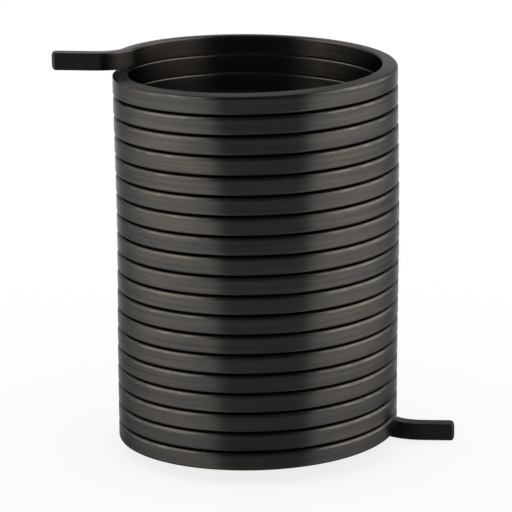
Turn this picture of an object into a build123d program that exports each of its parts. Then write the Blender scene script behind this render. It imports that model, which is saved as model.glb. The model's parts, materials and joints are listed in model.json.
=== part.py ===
"""Helical torsion spring wound from rectangular wire, with both ends bent outward as short legs.

The spring stands on its axis, which is the Z axis. Seen from above, the wire comes in along the
lower leg from +X, bends clockwise into the coil, climbs anticlockwise round the axis (a
right-hand coil), bends clockwise again and leaves along the upper leg towards -X. It climbs at
one steady slope from end to end, the legs included. The origin is on the axis, level with the
underside of the lower leg's tip. All sizes are in millimetres.
"""

from build123d import *
from math import asin, cos, degrees, pi, radians, sin
import os

# The wire
WIRE_THICKNESS = 2.0  # across the coil's wall
WIRE_HEIGHT = 2.2  # along the axis

# The coil
INNER_DIAMETER = 32.0  # the space for the arbor
TURN_GAP = 0.3  # open air between one turn and the next
WHOLE_TURNS = 19  # besides the part turn that brings the upper leg round to its side

# The legs
BEND_INSIDE_RADIUS = 4.0
LOWER_LEG_OFFSET = 0.45  # the leg's centre line, behind the axis (+Y)
UPPER_LEG_OFFSET = 2.05
LOWER_LEG_STRAIGHT = 4.1  # from the bend to the sheared end
UPPER_LEG_STRAIGHT = 4.9
END_ROUNDING = 0.35  # on the edges of the sheared ends

# Worked out from the sizes above
pitch = WIRE_HEIGHT + TURN_GAP
inner_radius = INNER_DIAMETER / 2
coil_radius = inner_radius + WIRE_THICKNESS / 2
bend_radius = BEND_INSIDE_RADIUS + WIRE_THICKNESS / 2
bend_centre_distance = coil_radius + bend_radius
climb = pitch / (2 * pi * coil_radius)  # rise for each millimetre of wire, seen from above

# Directions, round the axis from +X, at which the wire joins and leaves the coil
start_angle = degrees(asin((LOWER_LEG_OFFSET + bend_radius) / bend_centre_distance))
end_angle = 180 - degrees(asin((UPPER_LEG_OFFSET + bend_radius) / bend_centre_distance))
part_turn_angle = end_angle - start_angle

# A bend turns the wire from the coil's direction to the leg's, which is parallel to X
lower_bend_angle = 90 - start_angle
upper_bend_angle = end_angle - 90


def rise(length):
    """How much the wire's centre line climbs over a length seen from above."""
    return climb * length


def wound_wire(centre_radius, angle, left_hand=False):
    """A stretch of wire wound round the Z axis, from +X at height 0 through an angle in degrees.

    The bar is swept wider than the wire, and a ring then trims it, so the walls facing the axis
    and away from it are true cylinders and the other two are helical faces.
    """
    inside = centre_radius - WIRE_THICKNESS / 2
    outside = centre_radius + WIRE_THICKNESS / 2
    stretch_rise = rise(centre_radius * radians(angle))
    with BuildPart() as stretch:
        with BuildLine() as centre_line:
            Helix(rise(2 * pi * centre_radius), stretch_rise, centre_radius, lefthand=left_hand)
        with BuildSketch(Plane.XZ):
            with Locations((centre_radius, 0)):
                Rectangle(2 * WIRE_THICKNESS, WIRE_HEIGHT)
        sweep(path=centre_line.wires()[0], is_frenet=True)
        with BuildSketch(Plane.XY.offset(-WIRE_HEIGHT)):
            Circle(outside)
            Circle(inside, mode=Mode.SUBTRACT)
        extrude(amount=stretch_rise + 2 * WIRE_HEIGHT, mode=Mode.INTERSECT)
    return stretch.part


def straight_wire(length, tip_at_start):
    """A leg running from the origin towards -X as it climbs, with the edges of its tip rounded."""
    with BuildPart() as leg:
        with BuildSketch(Plane.YZ):
            Rectangle(WIRE_THICKNESS, WIRE_HEIGHT)
        extrude(amount=(length**2 + rise(length) ** 2) ** 0.5, dir=(-1, 0, climb))
        ends = leg.faces().filter_by(Axis.X).sort_by(Axis.X)
        tip = ends[-1] if tip_at_start else ends[0]
        fillet(tip.edges(), END_ROUNDING)
    return leg.part


# Heights of the wire's centre line at the joins between stretches, from the lower tip upward
lower_tip_height = WIRE_HEIGHT / 2
lower_bend_height = lower_tip_height + rise(LOWER_LEG_STRAIGHT)
coil_start_height = lower_bend_height + rise(bend_radius * radians(lower_bend_angle))
part_turn_height = coil_start_height + WHOLE_TURNS * pitch
coil_end_height = part_turn_height + rise(coil_radius * radians(part_turn_angle))
upper_leg_height = coil_end_height + rise(bend_radius * radians(upper_bend_angle))

# Centres of the bends, seen from above
lower_bend_x = bend_centre_distance * cos(radians(start_angle))
lower_bend_y = bend_centre_distance * sin(radians(start_angle))
upper_bend_x = bend_centre_distance * cos(radians(end_angle))
upper_bend_y = bend_centre_distance * sin(radians(end_angle))

whole_turn = wound_wire(coil_radius, 360)
part_turn = wound_wire(coil_radius, part_turn_angle)
lower_bend = wound_wire(bend_radius, lower_bend_angle, left_hand=True)
upper_bend = wound_wire(bend_radius, upper_bend_angle, left_hand=True)
lower_leg = straight_wire(LOWER_LEG_STRAIGHT, tip_at_start=True)
upper_leg = straight_wire(UPPER_LEG_STRAIGHT, tip_at_start=False)

turn_heights = [coil_start_height + turn * pitch for turn in range(WHOLE_TURNS)]

# Neighbouring stretches meet face to face and are fused into one wire. Their faces aren't
# merged across the joins, which keeps each turn's walls as simple as the first turn's.
with BuildPart() as torsion_spring:
    with Locations((lower_bend_x + LOWER_LEG_STRAIGHT, LOWER_LEG_OFFSET, lower_tip_height)):
        add(lower_leg, clean=False)
    with Locations(Location((lower_bend_x, lower_bend_y, lower_bend_height), (0, 0, -90))):
        add(lower_bend, clean=False)
    with Locations(*[Location((0, 0, height), (0, 0, start_angle)) for height in turn_heights]):
        add(whole_turn, clean=False)
    with Locations(Location((0, 0, part_turn_height), (0, 0, start_angle))):
        add(part_turn, clean=False)
    with Locations(Location((upper_bend_x, upper_bend_y, coil_end_height), (0, 0, end_angle - 180))):
        add(upper_bend, clean=False)
    with Locations((upper_bend_x, UPPER_LEG_OFFSET, upper_leg_height)):
        add(upper_leg, clean=False)

torsion_spring.part.label = "torsion_spring"
os.makedirs("parts", exist_ok=True)
export_step(torsion_spring.part, "parts/torsion_spring.step")
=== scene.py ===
import json
import math

import bpy
import numpy as np
from mathutils import Matrix, Vector


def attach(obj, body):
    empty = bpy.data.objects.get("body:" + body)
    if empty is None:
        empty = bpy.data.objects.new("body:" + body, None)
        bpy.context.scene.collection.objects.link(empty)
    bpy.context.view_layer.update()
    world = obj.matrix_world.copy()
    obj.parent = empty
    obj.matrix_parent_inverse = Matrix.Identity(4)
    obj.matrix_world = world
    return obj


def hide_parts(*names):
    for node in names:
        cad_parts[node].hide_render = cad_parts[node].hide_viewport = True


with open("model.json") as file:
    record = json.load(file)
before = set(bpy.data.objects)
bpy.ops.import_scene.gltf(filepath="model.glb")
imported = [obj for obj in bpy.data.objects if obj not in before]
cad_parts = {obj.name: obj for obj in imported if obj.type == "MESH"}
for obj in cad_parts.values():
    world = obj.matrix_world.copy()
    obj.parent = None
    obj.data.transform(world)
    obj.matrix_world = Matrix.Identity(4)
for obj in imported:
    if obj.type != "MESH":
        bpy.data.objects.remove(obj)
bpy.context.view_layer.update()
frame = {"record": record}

# The torsion spring's looks. The wire is swept again with its rounded corners, in place of the
# plain solid, and dressed as dark drawn spring steel. Lengths are in millimetres, and MM turns
# them to metres.

MM = 0.001
NODE = "torsion_spring"

# ---------------------------------------------------------------------------------------------
# Sizes of the spring
# ---------------------------------------------------------------------------------------------

WIRE_THICKNESS = 2.0  # across the coil's wall
WIRE_HEIGHT = 2.2  # along the axis
CORNER_RADIUS = 0.13

# Coiling makes three of the section's corners rounder and the wire taller, most of all at its
# inner side: what it adds to each corner's radius, and to the height above and below.
INNER_TOP_ROUNDER = 0.12
OUTER_TOP_ROUNDER = 0.27
OUTER_BOTTOM_ROUNDER = 0.12
INNER_SWELL = 0.14
OUTER_TOP_SWELL = -0.02
OUTER_BOTTOM_SWELL = 0.06

# One turn below the upper leg the outer top corner stays sharp and stands higher.
LEG_SWELL = 0.12
LEG_ANGLE = math.radians(18.0)  # from the end of the coil to the middle of that place
LEG_SHADE = math.radians(45.0)  # to each side, where the corner has its usual shape again

PITCH = 2.5
WHOLE_TURNS = 19
BEND_RADIUS = 5.0  # of the wire's centre line
LOWER_LEG_OFFSET = 0.45
UPPER_LEG_OFFSET = 2.05
LOWER_LEG_STRAIGHT = 4.1
UPPER_LEG_STRAIGHT = 4.9

# At a sheared end the section is drawn in from its sides by up to the rounding. Shares of that
# draw it in from above and below, lift it, and make its corners rounder.
END_ROUNDING = 0.5
END_HEIGHT_SHARE = 0.8
END_LIFT = 0.35
END_CORNER_SHARE = 0.3

arbor_bore = next(m for m in frame["record"]["mounts"] if m["name"] == "arbor_bore")
inner_radius = arbor_bore["dims"]["r_mm"]
coil_radius = inner_radius + WIRE_THICKNESS / 2
climb = PITCH / (2 * math.pi * coil_radius)  # rise for each millimetre of wire seen from above

bend_centre_distance = coil_radius + BEND_RADIUS
start_angle = math.asin((LOWER_LEG_OFFSET + BEND_RADIUS) / bend_centre_distance)
end_angle = math.pi - math.asin((UPPER_LEG_OFFSET + BEND_RADIUS) / bend_centre_distance)
coil_angle = 2 * math.pi * WHOLE_TURNS + end_angle - start_angle
lower_bend_length = BEND_RADIUS * (math.pi / 2 - start_angle)
coil_length = coil_radius * coil_angle
upper_bend_length = BEND_RADIUS * (end_angle - math.pi / 2)
tip = np.array(
    [bend_centre_distance * math.cos(start_angle) + LOWER_LEG_STRAIGHT, LOWER_LEG_OFFSET]
)

# The wire from the lower tip to the upper one: the length of each stretch seen from above, and
# how sharply it turns, anticlockwise being positive.
STRETCHES = (
    (LOWER_LEG_STRAIGHT, 0.0),
    (lower_bend_length, -1 / BEND_RADIUS),
    (coil_length, 1 / coil_radius),
    (upper_bend_length, -1 / BEND_RADIUS),
    (UPPER_LEG_STRAIGHT, 0.0),
)
wire_length = sum(length for length, turning in STRETCHES)

# The coil isn't quite straight: its axis swells a little towards +X.
BOW = 0.16
BOW_AT_ENDS = -0.08
BOW_HEIGHT = 30.0  # where the swell is greatest
BOW_REACH = 13.0  # up and down from there, where little more than a third of it is left

STEPS_PER_TURN = 120
BEND_STEP = math.radians(4)
STRAIGHT_STEP = 0.6
CORNER_STEPS = 4
ROUNDING_STEPS = 6
FLAT_EDGE = 0.06  # from a corner to the point beside it on the flat,
FLAT_EDGE_SHARE = 0.4  # but no more than this share of half the flat
ROUND_OFF = 1e-9

# ---------------------------------------------------------------------------------------------
# The wire's surface
# ---------------------------------------------------------------------------------------------


def smooth_step(low, high, value):
    """0 below low, 1 above high, and a smooth rise from one to the other."""
    part = np.clip((value - low) / (high - low), 0, 1)
    return part * part * (3 - 2 * part)


def bow(z):
    """How far the coil's axis leaves the straight at each height: one shallow swell."""
    return BOW_AT_ENDS + (BOW - BOW_AT_ENDS) * np.exp(-(((z - BOW_HEIGHT) / BOW_REACH) ** 2))


def on_coil(distance):
    """1 on the coil, fading to 0 along each bend, so that the legs stay where they are."""
    lower, upper = LOWER_LEG_STRAIGHT, wire_length - UPPER_LEG_STRAIGHT
    rise = smooth_step(lower, lower + lower_bend_length, distance)
    return rise * (1 - smooth_step(upper - upper_bend_length, upper, distance))


def under_upper_leg(distance):
    """1 where the wire passes below the upper leg, one turn before it, fading to 0 beside it."""
    end_of_coil = LOWER_LEG_STRAIGHT + lower_bend_length + coil_length
    place = end_of_coil - coil_radius * (2 * math.pi - LEG_ANGLE)
    return 1 - smooth_step(0.0, LEG_SHADE * coil_radius, np.abs(distance - place))


def centre_line(distance):
    """Points and headings on the wire's centre line at distances from the lower tip.

    Each stretch turns at a constant rate, so its heading grows evenly with the distance, and its
    points come from the sine and cosine of the heading, or lie on a straight line where it
    doesn't turn. The height grows evenly from end to end.
    """
    x, y = np.empty_like(distance), np.empty_like(distance)
    heading = np.empty_like(distance)
    here, direction, begun = tip.copy(), math.pi, 0.0
    for length, turning in STRETCHES:
        on = distance >= begun - ROUND_OFF
        along = distance[on] - begun
        heading[on] = direction + turning * along
        if turning:
            x[on] = here[0] + (np.sin(heading[on]) - math.sin(direction)) / turning
            y[on] = here[1] - (np.cos(heading[on]) - math.cos(direction)) / turning
        else:
            x[on] = here[0] + along * math.cos(direction)
            y[on] = here[1] + along * math.sin(direction)
        turned = direction + turning * length
        if turning:
            here += np.array([
                math.sin(turned) - math.sin(direction), math.cos(direction) - math.cos(turned)
            ]) / turning
        else:
            here += length * np.array([math.cos(direction), math.sin(direction)])
        direction, begun = turned, begun + length
    z = WIRE_HEIGHT / 2 + climb * distance
    x += bow(z) * on_coil(distance)
    return np.stack([x, y, z], axis=1), heading


def stations():
    """Distances along the wire at which its section is placed, and how far each is drawn in.

    The steps are even in angle on each stretch. At a tip the section is drawn in along a
    quarter circle, which rounds the edges of the sheared end.
    """
    distances, begun = [], 0.0
    for length, turning in STRETCHES:
        if turning > 0:
            step = 2 * math.pi * coil_radius / STEPS_PER_TURN
        elif turning < 0:
            step = BEND_RADIUS * BEND_STEP
        else:
            step = STRAIGHT_STEP
        count = max(1, round(length / step))
        distances.append(begun + length * np.arange(count) / count)
        begun += length
    along = np.concatenate([*distances, [wire_length]])
    clear_of_end = 1.2 * END_ROUNDING
    inside = (along > clear_of_end) & (along < wire_length - clear_of_end)
    quarter = np.linspace(0, math.pi / 2, ROUNDING_STEPS + 1)
    near = END_ROUNDING * (1 - np.cos(quarter))
    drawn_in = END_ROUNDING * (1 - np.sin(quarter))
    along = np.concatenate([near, along[inside], wire_length - near[::-1]])
    inset = np.concatenate([drawn_in, np.zeros(inside.sum()), drawn_in[::-1]])
    return along, inset


def section(inset, coiled, under_leg):
    """The wire's section at each station, as points (towards the inside of the coil, up).

    A rectangle with round corners, drawn in by the inset. Where it is coiled, from 0 to 1, all
    its corners but the inner bottom one are rounder, and its height grows evenly from the outer
    side to the inner one. Under the leg, from 0 to 1, it keeps a sharp outer top corner. Each
    corner is a quarter circle, and each flat has one more point close to each of its ends,
    which keeps the flats flat in the shading.
    """
    half_thickness = (WIRE_THICKNESS / 2 - inset)[:, None]
    half_height = (WIRE_HEIGHT / 2 - END_HEIGHT_SHARE * inset)[:, None]
    lifted = (END_LIFT * inset)[:, None]
    outer_top_rounder = OUTER_TOP_ROUNDER * (1 - under_leg)
    corners = (
        (1, -1, 0.0),
        (1, 1, INNER_TOP_ROUNDER),
        (-1, 1, outer_top_rounder),
        (-1, -1, OUTER_BOTTOM_ROUNDER),
    )
    points = []
    for quarter, (across, up, rounder) in enumerate(corners):
        radius = (CORNER_RADIUS + coiled * rounder + END_CORNER_SHARE * inset)[:, None]
        flat = np.minimum(FLAT_EDGE, FLAT_EDGE_SHARE * (half_thickness - radius))
        angles = np.linspace(0, math.pi / 2, CORNER_STEPS + 1) + (quarter - 1) * math.pi / 2
        a = across * (half_thickness - radius) + radius * np.cos(angles)
        b = up * (half_height - radius) + radius * np.sin(angles)
        before = (math.sin(angles[0]), -math.cos(angles[0]))
        after = (-math.sin(angles[-1]), math.cos(angles[-1]))
        a = np.concatenate([a[:, :1] + before[0] * flat, a, a[:, -1:] + after[0] * flat], axis=1)
        b = np.concatenate([b[:, :1] + before[1] * flat, b, b[:, -1:] + after[1] * flat], axis=1)
        inward = (1 + a / half_thickness) / 2
        outer_swell = (OUTER_BOTTOM_SWELL, OUTER_TOP_SWELL + LEG_SWELL * under_leg)[up > 0]
        outer_swell = np.broadcast_to(outer_swell, inset.shape)[:, None]
        taller = outer_swell + (INNER_SWELL - outer_swell) * inward
        b = b + up * coiled[:, None] * taller + lifted
        points.append(np.stack([a, b], axis=2))
    return np.concatenate(points, axis=1)


def round_section_places():
    """The distance round the section of each of its points, from the first one back to it."""
    points = section(np.zeros(1), np.ones(1), np.zeros(1))[0]
    sides = np.linalg.norm(np.roll(points, -1, axis=0) - points, axis=1)
    return np.concatenate([[0.0], np.cumsum(sides)])


def outer_corner_place():
    """The distance round the section of its outer top corner, where it meets the side."""
    points_in_corner = CORNER_STEPS + 3
    return round_section_places()[2 * points_in_corner + 2 * points_in_corner // 3]


def swept_wire(name):
    """The whole wire: the section carried along the centre line, upright and square to it.

    Its UV map is the distance along the wire and the distance round the section, in metres.
    """
    along, inset = stations()
    centres, heading = centre_line(along)
    profile = section(inset, on_coil(along), under_upper_leg(along))
    inward = np.stack([-np.sin(heading), np.cos(heading), np.zeros_like(heading)], axis=1)
    rings = (
        centres[:, None, :]
        + profile[:, :, :1] * inward[:, None, :]
        + profile[:, :, 1:] * np.array([0.0, 0.0, 1.0])
    )
    count, around = rings.shape[:2]
    points = np.concatenate([rings.reshape(-1, 3), centres[:1], centres[-1:]]) * MM

    station, corner = np.meshgrid(np.arange(count - 1), np.arange(around), indexing="ij")
    following = (corner + 1) % around
    walls = np.stack([
        station * around + corner,
        station * around + following,
        (station + 1) * around + following,
        (station + 1) * around + corner,
    ], axis=2).reshape(-1, 4)
    ring = np.arange(around)
    next_ring = (ring + 1) % around
    first, last = count * around, count * around + 1
    start_cap = np.stack([np.full(around, first), next_ring, ring], axis=1)
    end_ring = (count - 1) * around
    end_cap = np.stack([np.full(around, last), end_ring + ring, end_ring + next_ring], axis=1)

    mesh = bpy.data.meshes.new(name)
    mesh.from_pydata(points, [], [*walls.tolist(), *start_cap.tolist(), *end_cap.tolist()])

    round_section = round_section_places()
    u = along[[station, station, station + 1, station + 1]]
    v = round_section[[corner, corner + 1, corner + 1, corner]]
    wall_uv = np.stack([u, v], axis=-1).transpose(1, 2, 0, 3).reshape(-1, 2)
    cap_uv = []
    for place, order in ((along[0], (1, 0)), (along[-1], (0, 1))):
        cap = np.empty((around, 3, 2))
        cap[:, :, 0] = place
        cap[:, 0, 1] = round_section[-1] / 2
        for rim_corner, shift in enumerate(order, start=1):
            cap[:, rim_corner, 1] = round_section[ring + shift]
        cap_uv.append(cap.reshape(-1, 2))
    uv = mesh.uv_layers.new(name="wire")
    uv.data.foreach_set("uv", (np.concatenate([wall_uv, *cap_uv]) * MM).ravel())
    mesh.shade_smooth()
    mesh.validate()
    piece = bpy.data.objects.new(name, mesh)
    bpy.context.scene.collection.objects.link(piece)
    return piece


# ---------------------------------------------------------------------------------------------
# Shader maths
# ---------------------------------------------------------------------------------------------


class Socket:
    """A node's output. Arithmetic on it, from either side, adds Math nodes to its tree."""

    def __init__(self, nodes, output):
        self.nodes, self.output = nodes, output

    def maths(self, operation, *values):
        return self.nodes.add("ShaderNodeMath", {"operation": operation}, dict(enumerate(values)))

    def __add__(self, other):
        return self.maths("ADD", self, other)

    def __sub__(self, other):
        return self.maths("SUBTRACT", self, other)

    def __rsub__(self, other):
        return self.maths("SUBTRACT", other, self)

    def __mul__(self, other):
        return self.maths("MULTIPLY", self, other)

    def __neg__(self):
        return self.maths("MULTIPLY", self, -1.0)

    __radd__ = __add__
    __rmul__ = __mul__

    def size(self):
        return self.maths("ABSOLUTE", self)

    def between(self, low, high):
        """0 below low, 1 above high, and a smooth rise from one to the other."""
        return self.nodes.add(
            "ShaderNodeMapRange",
            {"interpolation_type": "SMOOTHSTEP"},
            {"Value": self, "From Min": low, "From Max": high},
        )


class Nodes:
    """A node tree that is being filled."""

    def __init__(self, tree):
        self.tree = tree
        tree.nodes.clear()

    def split(self, vector):
        """The three components of a vector."""
        node = self.tree.nodes.new("ShaderNodeSeparateXYZ")
        self.tree.links.new(vector.output, node.inputs[0])
        return [Socket(self, part) for part in node.outputs]

    def socket(self, node, name):
        """An input by its place or by its name, taking the one in use where a name repeats."""
        if isinstance(name, int):
            return node.inputs[name]
        return next(socket for socket in node.inputs if socket.name == name and socket.enabled)

    def add(self, kind, settings=None, inputs=None, output=0):
        """A new node: its settings are set first, then its sockets, to values or links."""
        node = self.tree.nodes.new(kind)
        for name, value in (settings or {}).items():
            setattr(node, name, value)
        for name, value in (inputs or {}).items():
            if isinstance(value, Socket):
                self.tree.links.new(value.output, self.socket(node, name))
            else:
                self.socket(node, name).default_value = value
        if not node.outputs:
            return node
        if isinstance(output, int):
            return Socket(self, node.outputs[output])
        named = (out for out in node.outputs if out.name == output and out.enabled)
        return Socket(self, next(named))

    def blend(self, share, first, second):
        """The first colour where the share is 0 and the second where it is 1."""
        return self.add(
            "ShaderNodeMix", {"data_type": "RGBA"},
            {"Factor": share, "A": first, "B": second}, output="Result",
        )


def grey(level):
    return (level, level, level, 1.0)


# ---------------------------------------------------------------------------------------------
# Materials
# ---------------------------------------------------------------------------------------------

STEEL_DARK = (0.0620, 0.0602, 0.0583, 1.0)
STEEL_PALE = (0.1110, 0.0985, 0.0843, 1.0)
# The legs' steel, painted darker: painted shade standing in for the darker reflection on the
# legs.
PAINTED_SHADE_AT_ENDS = (0.051, 0.0515, 0.0545, 1.0)
# Paler steel along the outer top corner: partly scuffs, partly a painted highlight on its glint.
SCUFF_AND_GLINT_STEEL = (0.12, 0.112, 0.103, 1.0)
GRAZING_TINT = (0.45, 0.465, 0.48, 1.0)  # the dark skin mirrors less at a slant than bare metal

# How long and how wide the marks on the wire are.
DRAWN_LINE = (33.0, 0.11)
CLOUD = (14.0, 4.0)
STREAK = (28.0, 0.5)
GRAIN = (1.6, 0.22)
SCUFF_AND_GLINT = (2.2, 0.4)

# The shares of the marks in the steel's paleness, and the levels of the noise, which gathers
# round 0.5, at which each kind starts and is full.
CLOUD_SHARE = 0.40
STREAK_SHARE = 0.45
GRAIN_SHARE = 0.15
CLOUD_LEVELS = (0.25, 0.75)
STREAK_LEVELS = (0.3, 0.7)
GRAIN_LEVELS = (0.3, 0.7)
SCUFF_AND_GLINT_LEVELS = (0.45, 0.60)
NOISE_ROUGHNESS = 0.6

SCUFF_AND_GLINT_EDGE = (0.06, 0.20)  # how far from the corner the scuffs and the painted highlight are full and where they end
END_COLOUR_REACH = 4.0  # over which the painted shade on a leg gives way to the coil's steel
LINE_DEPTH = 0.02
LINE_STRENGTH = 0.08
SMOOTHEST = 0.23  # the roughness where there is no drawn line,
ROUGHER_LINES = 0.05  # and what a full line adds
ANISOTROPY = 0.85
ACROSS_THE_LINES = 0.25  # a quarter turn, which spreads the gloss square to the lines


def drawn_spring_steel():
    """Dark oiled spring steel.

    The drawing die leaves fine lines along the wire, the skin is cloudy and a little streaked,
    the outer top corner is paler in places, partly from scuffs and partly as a painted highlight,
    and the ends are painted darker, a painted shade standing in for their darker reflection.
    """
    material = bpy.data.materials.new("drawn_spring_steel")
    material.use_nodes = True
    nodes = Nodes(material.node_tree)
    wire = nodes.add("ShaderNodeTexCoord", output="UV")
    along, round_section = nodes.split(wire)[:2]

    def marks(size, detail):
        """Noise stretched along the wire: its marks are as long and as wide as the size."""
        scale = (1 / (size[0] * MM), 1 / (size[1] * MM), 1.0)
        stretched = nodes.add("ShaderNodeMapping", {}, {"Vector": wire, "Scale": scale})
        return nodes.add(
            "ShaderNodeTexNoise", {"noise_dimensions": "2D"},
            {"Vector": stretched, "Scale": 1.0, "Detail": detail, "Roughness": NOISE_ROUGHNESS},
        )

    lines = marks(DRAWN_LINE, 3.0)
    clouds = CLOUD_SHARE * marks(CLOUD, 2.0).between(*CLOUD_LEVELS)
    streaks = STREAK_SHARE * marks(STREAK, 1.0).between(*STREAK_LEVELS)
    grain = GRAIN_SHARE * marks(GRAIN, 1.0).between(*GRAIN_LEVELS)
    paleness = clouds + streaks + grain
    skin = nodes.blend(paleness, STEEL_DARK, STEEL_PALE)

    # The outer top corner gets paler patches: partly scuffs, partly a painted highlight on its
    # glint.
    from_corner = (round_section - outer_corner_place() * MM).size()
    on_corner = 1.0 - from_corner.between(*(edge * MM for edge in SCUFF_AND_GLINT_EDGE))
    scuffs_and_glint = on_corner * marks(SCUFF_AND_GLINT, 2.0).between(*SCUFF_AND_GLINT_LEVELS)
    worn_and_glinting = nodes.blend(scuffs_and_glint, skin, SCUFF_AND_GLINT_STEEL)

    # The legs are painted darker towards their tips, a painted shade for their darker reflection.
    lower = LOWER_LEG_STRAIGHT
    upper = wire_length - UPPER_LEG_STRAIGHT
    from_lower = along.between(lower * MM, (lower + END_COLOUR_REACH) * MM)
    from_upper = 1.0 - along.between((upper - END_COLOUR_REACH) * MM, upper * MM)
    colour = nodes.blend(from_lower * from_upper, PAINTED_SHADE_AT_ENDS, worn_and_glinting)

    bump = nodes.add("ShaderNodeBump", {}, {
        "Height": lines,
        "Strength": LINE_STRENGTH,
        "Distance": LINE_DEPTH * MM,
    })
    shader = nodes.add("ShaderNodeBsdfPrincipled", {}, {
        "Base Color": colour,
        "Metallic": 1.0,
        "Roughness": SMOOTHEST + ROUGHER_LINES * lines,
        "Specular Tint": GRAZING_TINT,
        "Anisotropic": ANISOTROPY,
        "Anisotropic Rotation": ACROSS_THE_LINES,
        "Normal": bump,
    })
    nodes.add("ShaderNodeOutputMaterial", {}, {"Surface": shader})
    return material


# ---------------------------------------------------------------------------------------------
# The studio
# ---------------------------------------------------------------------------------------------

# What the metal mirrors: the white ground, the dim room above it with a pale back wall, a soft
# box at each side, and a dark card in front, which takes from the ground. The boxes and the card
# are given by the way to their middle, how far to each side and how far up and down they are
# full and where they end, and their level. Angles are in degrees, azimuths from the front
# towards +X. The card goes on all the way up and down.
ROOM_COLOUR = (1.0, 0.985, 0.965, 1.0)
ROOM_LEVEL = 0.06
BACK_LEVEL = 0.80
BACK_EDGE = (0.0, 0.65)  # how far back the wall begins and is full, from 0 beside to 1 behind
HORIZON = (-0.06, 0.06)  # the ground is full below it and gone above it
GROUND_COLOUR = (0.935, 0.97, 1.0, 1.0)
LIGHT_COLOUR = (1.0, 0.965, 0.92, 1.0)
CARD = {"azimuth": 5.0, "elevation": -45.0, "across": (30.0, 46.0), "up": (90.0, 91.0),
        "level": 0.75}
LIGHTS = (
    {"azimuth": -81.0, "elevation": 25.0, "across": (8.0, 50.0), "up": (14.0, 39.0),
     "level": 2.0},
    {"azimuth": 90.0, "elevation": 25.0, "across": (14.0, 54.0), "up": (14.0, 39.0),
     "level": 2.0},
)


def patch(azimuth_here, elevation_here, azimuth, elevation, across, up, level):
    """The level of one patch of the room for rays that leave along the given way."""
    turned = azimuth_here - math.radians(azimuth)
    aside = turned.maths("WRAP", turned, -math.pi, math.pi).size()
    above = (elevation_here - math.radians(elevation)).size()
    full_across = 1.0 - aside.between(*(math.radians(edge) for edge in across))
    full_up = 1.0 - above.between(*(math.radians(edge) for edge in up))
    return level * full_across * full_up


def studio():
    """The light: plain and even on the floor, and the room round the object in the metal."""
    world = bpy.data.worlds.new("studio")
    world.use_nodes = True
    bpy.context.scene.world = world
    nodes = Nodes(world.node_tree)
    way = nodes.add("ShaderNodeTexCoord", output="Generated")
    x, y, z = nodes.split(way)
    azimuth = x.maths("ARCTAN2", x, -y)
    elevation = z.maths("ARCSINE", z)
    left, right = (patch(azimuth, elevation, **light) for light in LIGHTS)
    white_ground = (1.0 - z.between(*HORIZON)) * (1.0 - patch(azimuth, elevation, **CARD))
    dim = (ROOM_LEVEL + BACK_LEVEL * y.between(*BACK_EDGE)) * z.between(*HORIZON)

    def background(colour, strength):
        return nodes.add("ShaderNodeBackground", {}, {"Color": colour, "Strength": strength})

    room = background(ROOM_COLOUR, dim)
    white = background(GROUND_COLOUR, white_ground)
    boxes = background(LIGHT_COLOUR, left + right)
    above = nodes.add("ShaderNodeAddShader", {}, {0: room, 1: boxes})
    mirrored = nodes.add("ShaderNodeAddShader", {}, {0: above, 1: white})
    even = background(grey(1.0), 1.0)
    glossy = nodes.add("ShaderNodeLightPath", output="Is Glossy Ray")
    light = nodes.add("ShaderNodeMixShader", {}, {0: glossy, 1: even, 2: mirrored})
    nodes.add("ShaderNodeOutputWorld", {}, {"Surface": light})


FLOOR_HALF_WIDTH = 2000.0

# As the camera sees it, the floor is partly a plain white and partly matt, to take the shadow.
FLOOR_PLAIN_WHITE = 0.8

# In the metal the floor carries a painted shadow: it passes on none of the room's light under the
# coil.
# The dim level comes back between the first two distances from the axis, and the rest between the
# other two.
FLOOR_SHORT_WAY = (16.0, 24.0)
FLOOR_LONG_WAY = (18.0, 140.0)
FLOOR_DIM_LEVEL = 0.62
FLOOR_GLOW = 0.10  # how pale the floor's own surface is in the metal, under the coil,
FLOOR_GLOW_LOST = 0.6  # and the share of that which is gone far off


def pale_floor():
    """A white floor that keeps the object's soft shadow.

    In the metal it passes on the studio's light, weaker close to the object, a painted shadow
    round it.
    """
    material = bpy.data.materials.new("pale_floor")
    material.use_nodes = True
    nodes = Nodes(material.node_tree)
    matt = nodes.add("ShaderNodeBsdfDiffuse", {}, {"Color": grey(1.0)})
    white = nodes.add("ShaderNodeEmission", {}, {"Color": grey(1.0), "Strength": 1.0})
    seen = nodes.add("ShaderNodeLightPath", output="Is Camera Ray")
    shown = nodes.add("ShaderNodeMixShader", {}, {0: FLOOR_PLAIN_WHITE * seen, 1: matt, 2: white})

    place = nodes.add("ShaderNodeTexCoord", output="Object")
    distance = nodes.add(
        "ShaderNodeVectorMath", {"operation": "LENGTH"}, {0: place}, output="Value"
    )
    # A painted shadow for the metal: the floor passes on less light towards the coil's axis.
    clear = distance.between(*(edge * MM for edge in FLOOR_LONG_WAY))
    beside = distance.between(*(edge * MM for edge in FLOOR_SHORT_WAY))
    level = FLOOR_DIM_LEVEL * beside + (1.0 - FLOOR_DIM_LEVEL) * clear
    painted_shadow_passed = nodes.blend(level, grey(0.0), grey(1.0))
    through = nodes.add("ShaderNodeBsdfTransparent", {}, {"Color": painted_shadow_passed})
    white_near = FLOOR_GLOW * (1.0 - FLOOR_GLOW_LOST * clear)
    own = nodes.blend(white_near, grey(0.0), ROOM_COLOUR)
    glow = nodes.add("ShaderNodeBsdfDiffuse", {}, {"Color": own})
    mirrored = nodes.add("ShaderNodeAddShader", {}, {0: through, 1: glow})
    glossy = nodes.add("ShaderNodeLightPath", output="Is Glossy Ray")
    surface = nodes.add("ShaderNodeMixShader", {}, {0: glossy, 1: shown, 2: mirrored})
    nodes.add("ShaderNodeOutputMaterial", {}, {"Surface": surface})
    return material


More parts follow.
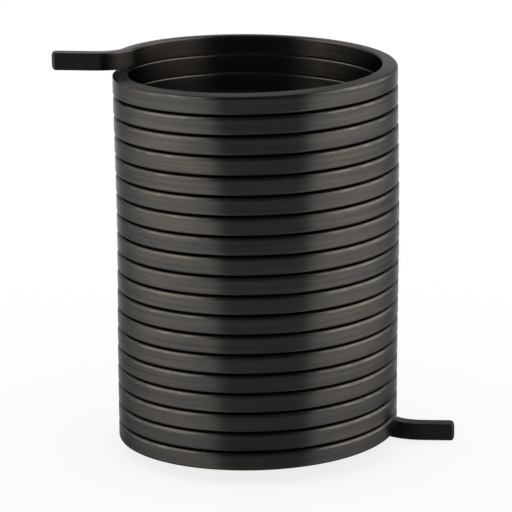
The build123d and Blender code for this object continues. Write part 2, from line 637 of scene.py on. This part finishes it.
def floor():
    half = FLOOR_HALF_WIDTH * MM
    mesh = bpy.data.meshes.new("floor")
    corners = [(-half, -half, 0), (half, -half, 0), (half, half, 0), (-half, half, 0)]
    mesh.from_pydata(corners, [], [(0, 1, 2, 3)])
    mesh.materials.append(pale_floor())
    surface = bpy.data.objects.new("floor", mesh)
    bpy.context.scene.collection.objects.link(surface)


# ---------------------------------------------------------------------------------------------
# The camera
# ---------------------------------------------------------------------------------------------

CAMERA_DISTANCE = 379.77  # to the point that it turns about, on the axis
CAMERA_TARGET_HEIGHT = 25.530
CAMERA_ELEVATION = math.radians(14.381)
CAMERA_ROLL = math.radians(-0.510)
CAMERA_ASIDE = -0.149  # to the right of the line through the target
CAMERA_ABOVE = -0.649
CAMERA_NEAR = 10.0  # it sees nothing nearer,
CAMERA_FAR = 10000.0  # and nothing farther
FOCAL_PIXELS = 2969.37
FRAME_PIXELS = 512
SENSOR_WIDTH = 36.0


def camera():
    data = bpy.data.cameras.new("camera")
    data.sensor_width = SENSOR_WIDTH
    data.lens = FOCAL_PIXELS / FRAME_PIXELS * SENSOR_WIDTH
    data.clip_start = CAMERA_NEAR * MM
    data.clip_end = CAMERA_FAR * MM
    back = Vector((0, -math.cos(CAMERA_ELEVATION), math.sin(CAMERA_ELEVATION)))
    right = Vector((1, 0, 0))
    up = back.cross(right)
    place = back * CAMERA_DISTANCE + right * CAMERA_ASIDE + up * CAMERA_ABOVE
    place.z += CAMERA_TARGET_HEIGHT
    rolled_right = right * math.cos(CAMERA_ROLL) + up * math.sin(CAMERA_ROLL)
    rolled_up = up * math.cos(CAMERA_ROLL) - right * math.sin(CAMERA_ROLL)
    turn = Matrix((rolled_right, rolled_up, back)).transposed()
    eye = bpy.data.objects.new("camera", data)
    eye.matrix_world = Matrix.Translation(place * MM) @ turn.to_4x4()
    bpy.context.scene.collection.objects.link(eye)
    bpy.context.scene.camera = eye


spring = swept_wire("spring_wire")
spring.data.materials.append(drawn_spring_steel())
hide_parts(NODE)
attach(spring, "root")

studio()
floor()
camera()

bpy.context.scene.view_settings.view_transform = "Standard"
